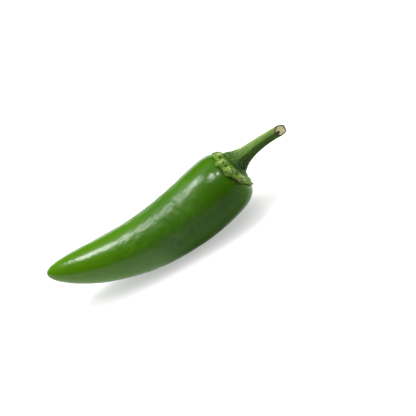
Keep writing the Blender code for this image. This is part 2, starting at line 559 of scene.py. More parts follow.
@dataclass
class Coat:
    """One material in the making: its graph and its Principled shader."""

    name: str
    effects: PlantEffects

    def __post_init__(self) -> None:
        """Makes the material."""
        self.material = bpy.data.materials.new(self.name)
        self.material.use_nodes = True
        self.graph = Graph(self.material.node_tree)
        self.shader = self.material.node_tree.nodes["Principled BSDF"]
        self.place = self.graph.call("ShaderNodeTexCoord", {}, output="Object")

    def set(self, **values: Value) -> None:
        """Sets or links the shader's sockets, with their spaces written as low lines."""
        for name, value in values.items():
            self.graph.feed(self.shader.inputs[name.replace("_", " ")], value)

    def green(
        self, deep: Colour, light: Colour, speck: Colour, patch_scale: float, speck_share: float
    ) -> Socket:
        """Places the shared greens.

        Args:
            deep: the darker green.
            light: the lighter green.
            speck: colour of the fine specks.
            patch_scale: scale of the mottling.
            speck_share: strength of the specks.

        Returns:
            The mottled colour.
        """
        node = self.graph.add("ShaderNodeGroup", node_tree=self.effects.greens)
        for name, colour in (("Deep", deep), ("Light", light), ("Speck", speck)):
            node.inputs[name].default_value = (*colour, 1)
        node.inputs["Patch Scale"].default_value = patch_scale
        node.inputs["Speck Share"].default_value = speck_share
        return node.outputs["Color"]

    def tinted(self, colour: Value, tint: Colour, share: Value) -> Socket:
        """A colour that goes over to a tint by some share."""
        return self.graph.blend(share, colour, (*tint, 1))

    def bumps(self, scale: float, fine_share: float) -> Socket:
        """Places the shared unevenness.

        Args:
            scale: scale of its soft part.
            fine_share: strength of its fine part.

        Returns:
            The height's socket.
        """
        node = self.graph.add("ShaderNodeGroup", node_tree=self.effects.bumps)
        self.graph.feed(node.inputs["Vector"], self.place)
        node.inputs["Scale"].default_value = scale
        node.inputs["Fine Share"].default_value = fine_share
        return node.outputs["Height"]

    def bumped(self, height: Value, depth: float) -> None:
        """Feeds a height of 0 to 1 to the shader's normal, with its depth in metres."""
        self.set(Normal=self.graph.call("ShaderNodeBump", {"Height": height, "Distance": depth}))

    def translucent(self, weight: float, blue: float, depth: float) -> None:
        """Lets light into the flesh to some depth, green the furthest."""
        self.set(Subsurface_Weight=weight, Subsurface_Radius=(0.5, 1.0, blue), Subsurface_Scale=depth)

    def stored(self, name: str, output: str = "Fac") -> Socket:
        """A value that the mesh stores at its points."""
        return self.graph.call("ShaderNodeAttribute", {}, output=output, attribute_name=name)


@dataclass(frozen=True)
class WaxySkin:
    """The pod's glossy, waxy skin: deep green, paler at the shoulder, with faint specks, and painted light
    that makes it lighter towards the tip.
    """

    deep: Colour = (0.050, 0.165, 0.0010)
    light: Colour = (0.066, 0.205, 0.0020)
    speck: Colour = (0.11, 0.27, 0.02)
    shoulder: Colour = (0.13, 0.28, 0.03)
    # tip: painted light, the lighter green that the skin turns towards the tip
    tip: Colour = (0.088, 0.238, 0.0015)
    patch_scale: float = 55.0
    speck_share: float = 0.12
    painted_tip_light: Band = Band(0.65, 0.0, last=0.9)
    on_shoulder: Band = Band(0.955, 0.990, last=0.75)
    ragged_scale: float = 260.0
    ragged_reach: float = 0.03
    roughness: float = 0.23
    uneven_gloss: float = 0.10
    gloss_scale: float = 420.0
    dull_waist: float = 0.15
    dull_from_tip: Band = Band(0.24, 0.62)
    dull_from_crown: Band = Band(0.84, 0.74)
    pore_scale: float = 900.0
    pore_depth: float = 0.000025

    def make(self, effects: PlantEffects) -> bpy.types.Material:
        """Builds the material."""
        coat = Coat("waxy_skin", effects)
        graph = coat.graph
        colour = coat.green(self.deep, self.light, self.speck, self.patch_scale, self.speck_share)
        station = coat.stored("station")
        # painted light: the skin turns lighter towards the tip
        colour = coat.tinted(colour, self.tip, graph.step(station, self.painted_tip_light))
        ragged = graph.noise(coat.place, self.ragged_scale, detail=3.0)
        ragged = graph.total(station, graph.product(ragged, self.ragged_reach))
        colour = coat.tinted(colour, self.shoulder, graph.step(ragged, self.on_shoulder))
        gloss = graph.noise(coat.place, self.gloss_scale, detail=3.0)
        dull = graph.step(station, self.dull_from_tip)
        dull = graph.product(dull, graph.step(station, self.dull_from_crown), self.dull_waist)
        rough = graph.math("MULTIPLY_ADD", gloss, self.uneven_gloss, self.roughness - self.uneven_gloss / 2)
        coat.set(Base_Color=colour, Roughness=graph.total(rough, dull))
        coat.set(IOR=1.45, Coat_Weight=0.05, Coat_Roughness=0.16)
        coat.translucent(0.12, 0.12, 0.0018)
        coat.bumped(coat.bumps(self.pore_scale, 0.25), self.pore_depth)
        return coat.material


@dataclass(frozen=True)
class CrinkledLeaf:
    """The calyx: green, with painted light that makes the puff tops pale, painted shade that makes the
    folds and the collar round the stem's foot dark green, and dried patches at the margin.
    """

    # fold: painted shade, the dark green in the folds and creases
    fold: Colour = (0.014, 0.050, 0.004)
    leaf: Colour = (0.105, 0.225, 0.018)
    light: Colour = (0.18, 0.33, 0.040)
    # crown: painted light, the pale green on the tops of the puffs
    crown: Colour = (0.38, 0.50, 0.15)
    # collar: painted shade, the dark green round the stem's foot
    collar: Colour = (0.032, 0.090, 0.012)
    speck: Colour = (0.40, 0.48, 0.16)
    dried: Colour = (0.33, 0.33, 0.10)
    scorched: Colour = (0.045, 0.030, 0.010)
    patch_scale: float = 620.0
    speck_share: float = 0.45
    collar_shade: Band = Band(0.02, 0.55, last=0.85)
    puff_highlight: Band = Band(0.10, 0.50, last=0.90)
    fold_shade: Band = Band(0.50, 0.95, last=0.75)
    ragged_scale: float = 1100.0
    ragged_reach: float = 1.6
    where_dry: Band = Band(0.45, 0.75, last=0.85)
    at_margin: Band = Band(0.975, 1.0)
    burnt_parts: Band = Band(0.50, 0.58)
    burnt_share: float = 0.8
    grain_scale: float = 1800.0
    grain_depth: float = 0.00010

    def make(self, effects: PlantEffects) -> bpy.types.Material:
        """Builds the material."""
        coat = Coat("crinkled_leaf", effects)
        graph = coat.graph
        colour = coat.green(self.leaf, self.light, self.speck, self.patch_scale, self.speck_share)
        # painted shade: dark round the stem's foot
        colour = coat.tinted(colour, self.collar, graph.step(coat.stored("collar"), self.collar_shade))
        # painted light: the puff tops are pale
        colour = coat.tinted(colour, self.crown, graph.step(coat.stored("puff"), self.puff_highlight))
        # painted shade: the folds and creases are dark
        colour = coat.tinted(colour, self.fold, graph.step(coat.stored("fold"), self.fold_shade))
        ragged = graph.noise(coat.place, self.ragged_scale, detail=3.0)
        uneven = graph.math("SUBTRACT", ragged, 0.5)
        dry = graph.math("MULTIPLY_ADD", uneven, self.ragged_reach, coat.stored("dry"))
        colour = coat.tinted(colour, self.dried, graph.step(dry, self.where_dry))
        burnt = graph.step(coat.stored("reach"), self.at_margin)
        burnt = graph.product(burnt, graph.step(ragged, self.burnt_parts), self.burnt_share)
        colour = coat.tinted(colour, self.scorched, burnt)
        coat.set(Base_Color=colour, Roughness=0.45, Specular_IOR_Level=0.20)
        coat.translucent(0.06, 0.2, 0.0008)
        coat.bumped(coat.bumps(self.grain_scale, 0.6), self.grain_depth)
        return coat.material


@dataclass(frozen=True)
class DriedTip:
    """The shrivelled brown points round the calyx."""

    dark: Colour = (0.030, 0.016, 0.008)
    pale: Colour = (0.14, 0.10, 0.04)
    patch_scale: float = 650.0
    pale_parts: Band = Band(0.42, 0.58)
    grain_scale: float = 3000.0
    grain_depth: float = 0.00005

    def make(self, effects: PlantEffects) -> bpy.types.Material:
        """Builds the material."""
        coat = Coat("dried_tip", effects)
        patches = coat.graph.noise(coat.place, self.patch_scale, detail=3.0)
        colour = coat.tinted((*self.dark, 1), self.pale, coat.graph.step(patches, self.pale_parts))
        coat.set(Base_Color=colour, Roughness=0.75)
        coat.bumped(coat.bumps(self.grain_scale, 0.5), self.grain_depth)
        return coat.material


@dataclass(frozen=True)
class RidgedStalk:
    """The stem: satin green, streaked, with a painted highlight along its upper side and painted shade at
    its foot, brown at the cut.
    """

    groove: Colour = (0.062, 0.158, 0.008)
    light: Colour = (0.096, 0.212, 0.017)
    ridge: Colour = (0.108, 0.225, 0.022)
    # pale: painted highlight along the stem's upper side
    pale: Colour = (0.35, 0.48, 0.16)
    # root and fold: painted shade at the stem's foot, darker in the puckers
    root: Colour = (0.060, 0.150, 0.018)
    fold: Colour = (0.012, 0.045, 0.010)
    bark: Colour = (0.110, 0.075, 0.030)
    patch_scale: float = 300.0
    speck_share: float = 0.3
    streak_scale: float = 4.0
    streak_lift: float = 0.8
    on_ridge: Band = Band(0.75, 1.5, last=0.8)
    painted_light_streaks: Band = Band(0.38, 0.60, 0.40, 0.95)
    near_foot: Band = Band(0.22, 0.02)
    foot_shade_share: float = 0.75
    pucker_shade: Band = Band(0.10, -0.30)
    pucker_shade_share: float = 0.8
    grain_scale: float = 1500.0
    grain_share: float = 0.4
    grain_depth: float = 0.00009

    def make(self, effects: PlantEffects) -> bpy.types.Material:
        """Builds the material."""
        coat = Coat("ridged_stalk", effects)
        graph = coat.graph
        colour = coat.green(self.groove, self.light, self.ridge, self.patch_scale, self.speck_share)
        streak = graph.noise(coat.stored("grain", "Vector"), self.streak_scale, detail=4.0, rough=0.6)
        raised = graph.total(coat.stored("ridge"), graph.product(streak, self.streak_lift))
        colour = coat.tinted(colour, self.ridge, graph.step(raised, self.on_ridge))
        # painted highlight: the upper side is pale in streaks
        painted_top_light = graph.product(coat.stored("upper"), graph.step(streak, self.painted_light_streaks))
        colour = coat.tinted(colour, self.pale, painted_top_light)
        # painted shade: darker near the foot and darkest in its puckers
        foot = graph.step(coat.stored("along"), self.near_foot)
        colour = coat.tinted(colour, self.root, graph.product(foot, self.foot_shade_share))
        shaded_puckers = graph.product(foot, graph.step(coat.stored("pucker"), self.pucker_shade), self.pucker_shade_share)
        colour = coat.tinted(colour, self.fold, shaded_puckers)
        colour = coat.tinted(colour, self.bark, coat.stored("rim"))
        rough = graph.math("MULTIPLY_ADD", streak, 0.3, 0.33)
        coat.set(Base_Color=colour, Roughness=rough, Specular_IOR_Level=0.28)
        coat.translucent(0.1, 0.2, 0.0012)
        grain = graph.product(coat.bumps(self.grain_scale, 0.4), self.grain_share)
        coat.bumped(graph.total(streak, grain), self.grain_depth)
        return coat.material


@dataclass(frozen=True)
class CutPith:
    """The pith at the cut: pale and dry, with fibres and a browned hollow."""

    pale: Colour = (0.96, 0.92, 0.50)
    tan: Colour = (0.50, 0.44, 0.17)
    brown: Colour = (0.045, 0.022, 0.012)
    fibre_scale: float = 2600.0
    on_fibre: Band = Band(0.48, 0.72, last=0.6)
    grain_scale: float = 3500.0
    grain_depth: float = 0.00010

    def make(self, effects: PlantEffects) -> bpy.types.Material:
        """Builds the material."""
        coat = Coat("cut_pith", effects)
        fibres = coat.graph.noise(coat.place, self.fibre_scale, detail=3.0, rough=0.6)
        colour = coat.tinted((*self.pale, 1), self.tan, coat.graph.step(fibres, self.on_fibre))
        colour = coat.tinted(colour, self.brown, coat.stored("hollow"))
        coat.set(Base_Color=colour, Roughness=0.8)
        coat.bumped(coat.bumps(self.grain_scale, 0.6), self.grain_depth)
        return coat.material


@dataclass
class Pod:
    """The fruit's body, drawn out of a sphere along the bent axis by Geometry Nodes."""

    growth: Growth
    rings: int = 260
    sides: int = 236
    dimple_size: float = 0.016
    dimple_depth: float = 0.00045
    mottle_size: float = 0.0026
    mottle_depth: float = 0.00040
    pucker_depth: float = 0.00030
    pattern_axis: tuple[float, float, float] = (0.3, 0.8, 0.5)
    pattern_turn: float = 0.9
    dimple_level: float = 0.6
    mottle_level: float = 0.65
    pucker_level: float = 0.55
    pucker_scale: float = 5.5
    waist_from_tip: Band = Band(0.28, 0.45, first=0.25)
    waist_from_crown: Band = Band(0.84, 0.72, first=0.2)
    off_the_tip: Band = Band(0.0, 0.04)
    calyx_station: float = 0.957
    pucker_rise: float = 0.05
    pucker_fall: float = 0.012
    relief_fall: float = 0.02

    def build(self) -> bpy.types.Object:
        """Grows the pod."""
        growth = self.growth
        values = {
            "Rings": self.rings,
            "Sides": self.sides,
            "Length": growth.length,
            "Radius": growth.radius / growth.widest,
            "Taper": growth.taper,
            "Tip Roundness": growth.tip_roundness,
            "Shoulder": growth.shoulder,
            "Crown Flatness": growth.crown_flatness,
            "Crown Sink": growth.crown_sink,
            "Lobes": float(growth.lobes),
            "Lobe Depth": growth.lobe_depth,
            "Lobe Start": growth.lobe_start,
            "Dimple Scale": 1 / self.dimple_size,
            "Dimple Depth": self.dimple_depth,
            "Mottle Scale": 1 / self.mottle_size,
            "Mottle Depth": self.mottle_depth,
            "Pucker Depth": self.pucker_depth,
            "Rest Turn": (-growth.lean, 0.0, 0.0),
            "Rest Place": growth.place,
        }
        return grown("pod_skin", line_mesh("pod_axis", [growth.axis]), self.tree(), values)

    def tree(self) -> bpy.types.NodeTree:
        """The rule as a geometry tree: sphere, bullet, relief, rest.

        Returns:
            The tree.
        """
        numbers = ("Length", "Radius", "Taper", "Tip Roundness", "Shoulder", "Crown Flatness", "Crown Sink")
        numbers += ("Lobes", "Lobe Depth", "Lobe Start", "Dimple Scale", "Dimple Depth", "Mottle Scale")
        numbers += ("Mottle Depth", "Pucker Depth")
        inputs = {"Axis": (SHAPE, None), "Rings": (COUNT, 60), "Sides": (COUNT, 60)}
        inputs.update({name: (NUMBER, 1.0) for name in numbers})
        inputs.update({"Rest Turn": (ARROW, None), "Rest Place": (ARROW, None), "Finish": (FINISH, None)})
        graph, given, out = new_tree("grow_pod", "GeometryNodeTree", inputs, {"Pod": SHAPE})
        counts = {"Segments": given["Sides"], "Rings": given["Rings"], "Radius": 1.0}
        sphere = graph.call("GeometryNodeMeshUVSphere", counts)
        place = graph.add("ShaderNodeSeparateXYZ")
        graph.feed(place.inputs[0], graph.call("GeometryNodeInputPosition", {}))
        around = graph.math("ARCTAN2", place.outputs["Y"], place.outputs["X"])
        half = graph.math("MULTIPLY_ADD", place.outputs["Z"], 0.5, 0.5)
        station = graph.math("MINIMUM", graph.math("MAXIMUM", half, 0.0), 1.0)
        stored = {"Geometry": sphere, "Name": "station", "Value": station}
        marked = graph.call("GeometryNodeStoreNamedAttribute", stored, data_type="FLOAT", domain="POINT")
        bullet = self.bullet_place(graph, given, station, around)
        shaped = graph.call("GeometryNodeSetPosition", {"Geometry": marked, "Position": bullet})
        relief = self.relief(graph, given, around)
        shaped = graph.call("GeometryNodeSetPosition", {"Geometry": shaped, "Offset": relief})
        turned = {"Geometry": shaped, "Rotation": given["Rest Turn"], "Translation": given["Rest Place"]}
        laid = self.flattened(graph, graph.call("GeometryNodeTransform", turned))
        real = graph.call("GeometryNodeRealizeInstances", {"Geometry": laid})
        finished = graph.call("GeometryNodeSetMaterial", {"Geometry": real, "Material": given["Finish"]})
        graph.feed(out.inputs["Pod"], finished)
        return graph.tree

    def bullet_place(self, graph: Graph, given: Value, station: Value, around: Value) -> Socket:
        """Where each point of the sphere goes on the pod.

        Args:
            graph: the tree's graph.
            given: the tree's inputs.
            station: share of the way from the tip to the crown.
            around: angle round the axis.

        Returns:
            The position's socket.
        """
        to_crown = graph.math("SUBTRACT", 1.0, station)
        taper = graph.math("SUBTRACT", 1.0, graph.math("POWER", to_crown, given["Taper"]))
        taper = graph.math("POWER", taper, graph.math("DIVIDE", 1.0, given["Tip Roundness"]))
        square = graph.math("SUBTRACT", 1.0, graph.math("POWER", station, given["Shoulder"]))
        square = graph.math("POWER", square, graph.math("DIVIDE", 1.0, given["Crown Flatness"]))
        radius = graph.product(taper, square, given["Radius"])
        narrow = self.growth.sink_radius * (1 - self.growth.sink_slope)
        sunk = graph.ramp(radius, self.growth.sink_radius, narrow)
        sunk = graph.product(sunk, graph.math("GREATER_THAN", station, 0.5), given["Crown Sink"])
        at = graph.math("SUBTRACT", station, graph.math("DIVIDE", sunk, given["Length"]))
        axis = graph.add("GeometryNodeSampleCurve", mode="FACTOR")
        graph.feed(axis.inputs["Curves"], graph.call("GeometryNodeMeshToCurve", {"Mesh": given["Axis"]}))
        graph.feed(axis.inputs["Factor"], at)
        side = (0.0, -1.0, 0.0)
        upward = graph.vector("NORMALIZE", graph.vector("CROSS_PRODUCT", side, axis.outputs["Tangent"]))
        ridges = graph.math("SUBTRACT", around, given["Lobe Start"])
        ridges = graph.math("COSINE", graph.product(ridges, given["Lobes"]))
        lobes = graph.product(ridges, given["Lobe Depth"], graph.ramp(station, 0.0, 1.0))
        reach = graph.product(radius, graph.math("ADD", lobes, 1.0))
        out_upward = graph.vector("SCALE", upward, graph.product(reach, graph.math("COSINE", around)))
        out_side = graph.vector("SCALE", side, graph.product(reach, graph.math("SINE", around)))
        return graph.vector("ADD", axis.outputs["Position"], graph.vector("ADD", out_upward, out_side))

    def relief(self, graph: Graph, given: Value, around: Value) -> Socket:
        """The soft dimples, the fine mottling and the puckers beside the calyx.

        Args:
            graph: the tree's graph.
            given: the tree's inputs.
            around: angle round the axis.

        Returns:
            The offset's socket.
        """
        station = graph.call("GeometryNodeInputNamedAttribute", {"Name": "station"}, data_type="FLOAT")
        place = graph.call("GeometryNodeInputPosition", {})
        askew = {"Vector": place, "Axis": self.pattern_axis, "Angle": self.pattern_turn}
        place = graph.call("ShaderNodeVectorRotate", askew, rotation_type="AXIS_ANGLE")
        dimples = graph.noise(place, given["Dimple Scale"], detail=1.0)
        dimples = graph.product(graph.math("SUBTRACT", dimples, self.dimple_level), given["Dimple Depth"])
        mottle = graph.noise(place, given["Mottle Scale"], detail=1.0)
        waist = graph.step(station, self.waist_from_tip)
        waist = graph.product(waist, graph.step(station, self.waist_from_crown))
        mottle = graph.math("SUBTRACT", mottle, self.mottle_level)
        mottle = graph.product(mottle, given["Mottle Depth"], waist)
        round_it = {"X": graph.math("COSINE", around), "Y": graph.math("SINE", around)}
        folds = graph.noise(graph.call("ShaderNodeCombineXYZ", round_it), self.pucker_scale, detail=3.0)
        edge = self.calyx_station
        near = graph.ramp(station, edge - self.pucker_rise, edge)
        near = graph.product(near, graph.ramp(station, edge + self.pucker_fall, edge))
        puckers = graph.math("SUBTRACT", folds, self.pucker_level)
        puckers = graph.product(puckers, near, given["Pucker Depth"])
        bare = graph.step(station, self.off_the_tip)
        bare = graph.product(bare, graph.ramp(station, edge + self.relief_fall, edge))
        height = graph.total(graph.product(graph.math("ADD", dimples, mottle), bare), puckers)
        return graph.vector("SCALE", graph.call("GeometryNodeInputNormal", {}), height)

    def flattened(self, graph: Graph, shape: Value) -> Socket:
        """Presses the belly flat where it would reach below the floor.

        Args:
            graph: the tree's graph.
            shape: the laid pod's socket.

        Returns:
            The pressed shape's socket.
        """
        place = graph.add("ShaderNodeSeparateXYZ")
        graph.feed(place.inputs[0], graph.call("GeometryNodeInputPosition", {}))
        level = graph.math("MAXIMUM", place.outputs["Z"], 0.0)
        kept = {"X": place.outputs["X"], "Y": place.outputs["Y"], "Z": level}
        pressed = graph.call("ShaderNodeCombineXYZ", kept)
        return graph.call("GeometryNodeSetPosition", {"Geometry": shape, "Position": pressed})

    def dress(self, piece: bpy.types.Object, effects: PlantEffects) -> None:
        """Gives the pod its waxy skin."""
        dressed(piece, WaxySkin().make(effects), stands_for="pod")


@dataclass
class Calyx:
    """The crinkled cap on the crown: puffs, creases, a puckered collar and dried tips."""

    growth: Growth
    cap_reach: float = math.radians(21.5)
    front_reach: float = 0.30
    front_turn: float = math.radians(70)
    front_narrowness: int = 5
    belly_lack: float = 0.27
    belly_turn: float = math.radians(22)
    edge: float = 0.00020
    puffs: int = 10
    puff_height: float = 0.00042
    puff_place: float = 0.76
    puff_spread: float = 0.13
    crease_depth: float = 0.00028
    margin_wave: float = 0.045
    tooth_reach: float = 0.05
    seat_radius: float = 0.0047
    seat_edge: float = 0.0020
    collar_height: float = 0.00026
    collar_width: float = 0.0010
    collar_gap: float = 0.0002
    collar_level: float = 0.8
    collar_pucker: float = 1.1
    crumple_size: float = 0.0010
    crumple_depth: float = 0.00012
    crumple_level: float = 0.3
    crumple_sharpness: float = 3.2
    fine_scale: float = 2.3
    fine_share: float = 0.30
    fine_sharpness: float = 3.0
    past_collar: Band = Band(0.35, 0.55)
    from_rim: Band = Band(0.0, 0.35)
    from_margin: Band = Band(1.0, 0.9)
    dried_turns: tuple[float, ...] = (0.1, 1.95, 3.6, 4.9)
    dried_width: float = 0.13
    dried_patch: Band = Band(0.70, 0.92)
    dried_thread: Band = Band(0.96, 1.0, last=0.5)
    rings: int = 120
    sides: int = 290
    tip_length: float = 0.0005
    tip_radius: float = 0.00026
    tip_flatness: float = 0.75
    tip_sizes: tuple[float, float] = (0.6, 1.2)
    tip_seed: int = 4

    def crease_turn(self, around: float) -> float:
        """A whole turn from one crease to the next. They are unevenly spaced."""
        uneven = 0.236 * math.sin(around - 1.043) + 0.098 * math.sin(2 * around - 1.291)
        return self.puffs * (around + uneven - 0.0925)

    def crease_at(self, number: int) -> float:
        """The angle of one crease, found by halving.

        Args:
            number: which crease, from 0.

        Returns:
            The angle round the pod's axis.
        """
        low, high = 0.0, math.tau
        for _ in range(30):
            middle = (low + high) / 2
            if self.crease_turn(middle) < math.tau * number:
                low = middle
            else:
                high = middle
        return low

    def margin(self, around: float) -> float:
        """How far the margin reaches: waves over the puffs, and a short tooth in every crease."""
        turn = self.crease_turn(around)
        return 1 - self.margin_wave * math.cos(turn) + self.tooth_reach * max(0.0, math.cos(turn)) ** 10

    def puff(self, reach: float, around: float) -> float:
        """0 in a crease and at the seat, 1 on top of a puff."""
        rise = (0.5 - 0.5 * math.cos(self.crease_turn(around))) ** 0.8
        return rise * bell(reach, self.puff_place, self.puff_spread)

    def crease(self, reach: float, around: float) -> float:
        """1 in the bottom of a crease."""
        bottom = max(0.0, math.cos(self.crease_turn(around))) ** 2
        return bottom * bell(reach, self.puff_place, self.puff_spread)

    def polar(self, reach: float, around: float) -> float:
        """Where the cap lies on the pod.

        Args:
            reach: share of the way from the seat to the margin.
            around: angle round the pod's axis.

        Returns:
            The polar angle on the pod.
        """
        front = ((1 + math.cos(around - self.front_turn)) / 2) ** self.front_narrowness
        belly = ((1 - math.cos(around - self.belly_turn)) / 2) ** 3
        even = self.cap_reach * (1 + self.front_reach * front - self.belly_lack * belly)
        return math.pi - even * reach * (1 + (self.margin(around) - 1) * ease(reach))

    def crumple(self, point: Vector, reach: float) -> float:
        """The fine folds, broad ones crossed by finer ones.

        Args:
            point: a point of the skin under the cap.
            reach: share of the way from the seat to the margin.

        Returns:
            0 on a swelling to 1 in a fold.
        """
        broad = abs(noise.noise(point / self.crumple_size))
        fine = abs(noise.noise(point / self.crumple_size * self.fine_scale + Vector((7, 3, 1))))
        swelling = min(1.0, self.crumple_sharpness * broad)
        swelling *= 1 - self.fine_share * (1 - min(1.0, self.fine_sharpness * fine))
        return (1 - swelling) * self.past_collar.at(reach)

    def to_seat(self, point: Vector, around: float) -> tuple[Vector, float]:
        """Levels the cap round the stem and draws it up into a puckered collar.

        Args:
            point: a point of the upper face.
            around: angle round the pod's axis.

        Returns:
            The move, and the collar's share there from 0 to 1.
        """
        ahead = self.growth.ahead(1)
        away = self.growth.stem_root() - point
        below = away.dot(ahead)
        aside = (away - ahead * below).length
        level = below * (1 - ease((aside - self.seat_radius) / self.seat_edge))
        foot = self.growth.foot_radius(math.pi - around) + self.collar_gap
        collar = bell(aside, foot, self.collar_width)
        pucker = noise.noise(Vector((5 * math.cos(around), 5 * math.sin(around), 300 * aside)))
        rise = self.collar_height * collar * (self.collar_level + self.collar_pucker * pucker)
        return ahead * (level + rise), collar

    def build(self) -> bpy.types.Object:
        """The cap: a flattened sphere draped over the crown a hair above the skin.

        Returns:
            The cap's object.
        """
        form = bmesh.new()
        bmesh.ops.create_uvsphere(form, u_segments=self.sides, v_segments=self.rings, radius=1)
        kept = {"reach": [], "puff": [], "fold": [], "collar": [], "dry": []}
        for vert in form.verts:
            height = vert.co.z
            reach = math.hypot(vert.co.x, vert.co.y)
            around = math.atan2(vert.co.y, vert.co.x)
            polar = self.polar(reach, around)
            lift = GAP + self.edge + self.edge * math.copysign(abs(height) ** 0.6, height)
            fold = self.crumple(self.growth.skin(polar, around), reach)
            puff = self.puff(reach, around)
            crease = self.crease(reach, around)
            if height > 0:
                raised = self.puff_height * puff - self.crease_depth * crease
                raised -= self.crumple_depth * (fold - self.crumple_level)
                lift += raised * self.from_rim.at(height) * self.from_margin.at(reach)
            point = self.growth.skin(polar, around, lift)
            collar = 0.0
            if height > 0:
                move, collar = self.to_seat(point, around)
                point += move
            vert.co = point
            kept["reach"].append(reach)
            # puff, fold and collar also place the calyx's painted light on the puff tops and its painted
            # shade in the folds and round the stem's foot
            kept["puff"].append(puff * (1 - fold))
            kept["fold"].append(max(fold, 1.2 * crease**2))
            kept["collar"].append(max(collar, 1 - self.past_collar.at(reach)))
            kept["dry"].append(self.dryness(reach, around))
        mesh = closed_mesh("calyx_cap", form, self.growth.laid())
        for name, values in kept.items():
            keep_values(mesh, name, values)
        return placed("calyx_cap", mesh)

    def dryness(self, reach: float, around: float) -> float:
        """Where the margin has dried: widest at a few turns, and a thread everywhere else.

        Args:
            reach: share of the way from the seat to the margin.
            around: angle round the pod's axis.

        Returns:
            0 where it is green, up to about 1 where it is dry.
        """
        turns = (math.remainder(around - turn, math.tau) for turn in self.dried_turns)
        patch = max(bell(turn, 0.0, self.dried_width) for turn in turns)
        return patch * self.dried_patch.at(reach) + self.dried_thread.at(reach)

    def tip_lines(self) -> list[list[Vector]]:
        """A short hooked line at the end of every tooth, each of its own size."""
        sizes = random.Random(self.tip_seed)
        creases = [self.crease_at(number) for number in range(self.puffs)]
        return [self.tip_line(crease, sizes.uniform(*self.tip_sizes)) for crease in creases]

    def tip_line(self, around: float, size: float) -> list[Vector]:
        """One hook, from inside the margin out along the skin and up off it.

        Args:
            around: angle round the pod's axis.
            size: its share of the usual length.

        Returns:
            The hook's points.
        """
        points = []
        for share in (0.0, 0.35, 0.7, 1.0):
            polar = self.polar(1.0, around) - (share - 0.4) * self.tip_length * size / self.growth.radius
            lift = GAP + self.edge + 0.4 * self.tip_length * size * share**2
            points.append(self.growth.skin(polar, around + 0.05 * share, lift))
        return points

    def tips_tree(self) -> bpy.types.NodeTree:
        """Tapered hooks along the given lines.

        Returns:
            The tree.
        """
        inputs = {
            "Lines": (SHAPE, None),
            "Radius": (NUMBER, 0.0003),
            "Flatness": (NUMBER, 0.5),
            "Turn": (ARROW, None),
            "Place": (ARROW, None),
            "Finish": (FINISH, None),
        }
        graph, given, out = new_tree("dried_tips", "GeometryNodeTree", inputs, {"Tips": SHAPE})
        curve = graph.call("GeometryNodeMeshToCurve", {"Mesh": given["Lines"]})
        curve = graph.call("GeometryNodeResampleCurve", {"Curve": curve, "Count": 9})
        share = graph.call("GeometryNodeSplineParameter", {}, output="Factor")
        blunt = graph.math("SQRT", graph.math("SUBTRACT", 1.03, graph.math("POWER", share, 5.0)))
        thick = graph.product(blunt, given["Radius"])
        ring = graph.call("GeometryNodeCurvePrimitiveCircle", {"Resolution": 12, "Radius": 1.0})
        flat = graph.call("ShaderNodeCombineXYZ", {"X": 1.0, "Y": given["Flatness"], "Z": 1.0})
        ring = graph.call("GeometryNodeTransform", {"Geometry": ring, "Scale": flat})
        swept = {"Curve": curve, "Profile Curve": ring, "Fill Caps": True, "Scale": thick}
        mesh = graph.call("GeometryNodeCurveToMesh", swept)
        turned = {"Geometry": mesh, "Rotation": given["Turn"], "Translation": given["Place"]}
        laid = graph.call("GeometryNodeTransform", turned)
        real = graph.call("GeometryNodeRealizeInstances", {"Geometry": laid})
        finished = graph.call("GeometryNodeSetMaterial", {"Geometry": real, "Material": given["Finish"]})
        graph.feed(out.inputs["Tips"], finished)
        return graph.tree

    def build_tips(self) -> bpy.types.Object:
        """The dried tips, all in one piece."""
        values = {
            "Radius": self.tip_radius,
            "Flatness": self.tip_flatness,
            "Turn": (-self.growth.lean, 0.0, 0.0),
            "Place": self.growth.place,
        }
        return grown("calyx_tips", line_mesh("tip_lines", self.tip_lines()), self.tips_tree(), values)

    def dress(self, cap: bpy.types.Object, tips: bpy.types.Object, effects: PlantEffects) -> None:
        """Gives the cap and its tips their finishes."""
        dressed(cap, CrinkledLeaf().make(effects), stands_for="calyx")
        dressed(tips, DriedTip().make(effects))


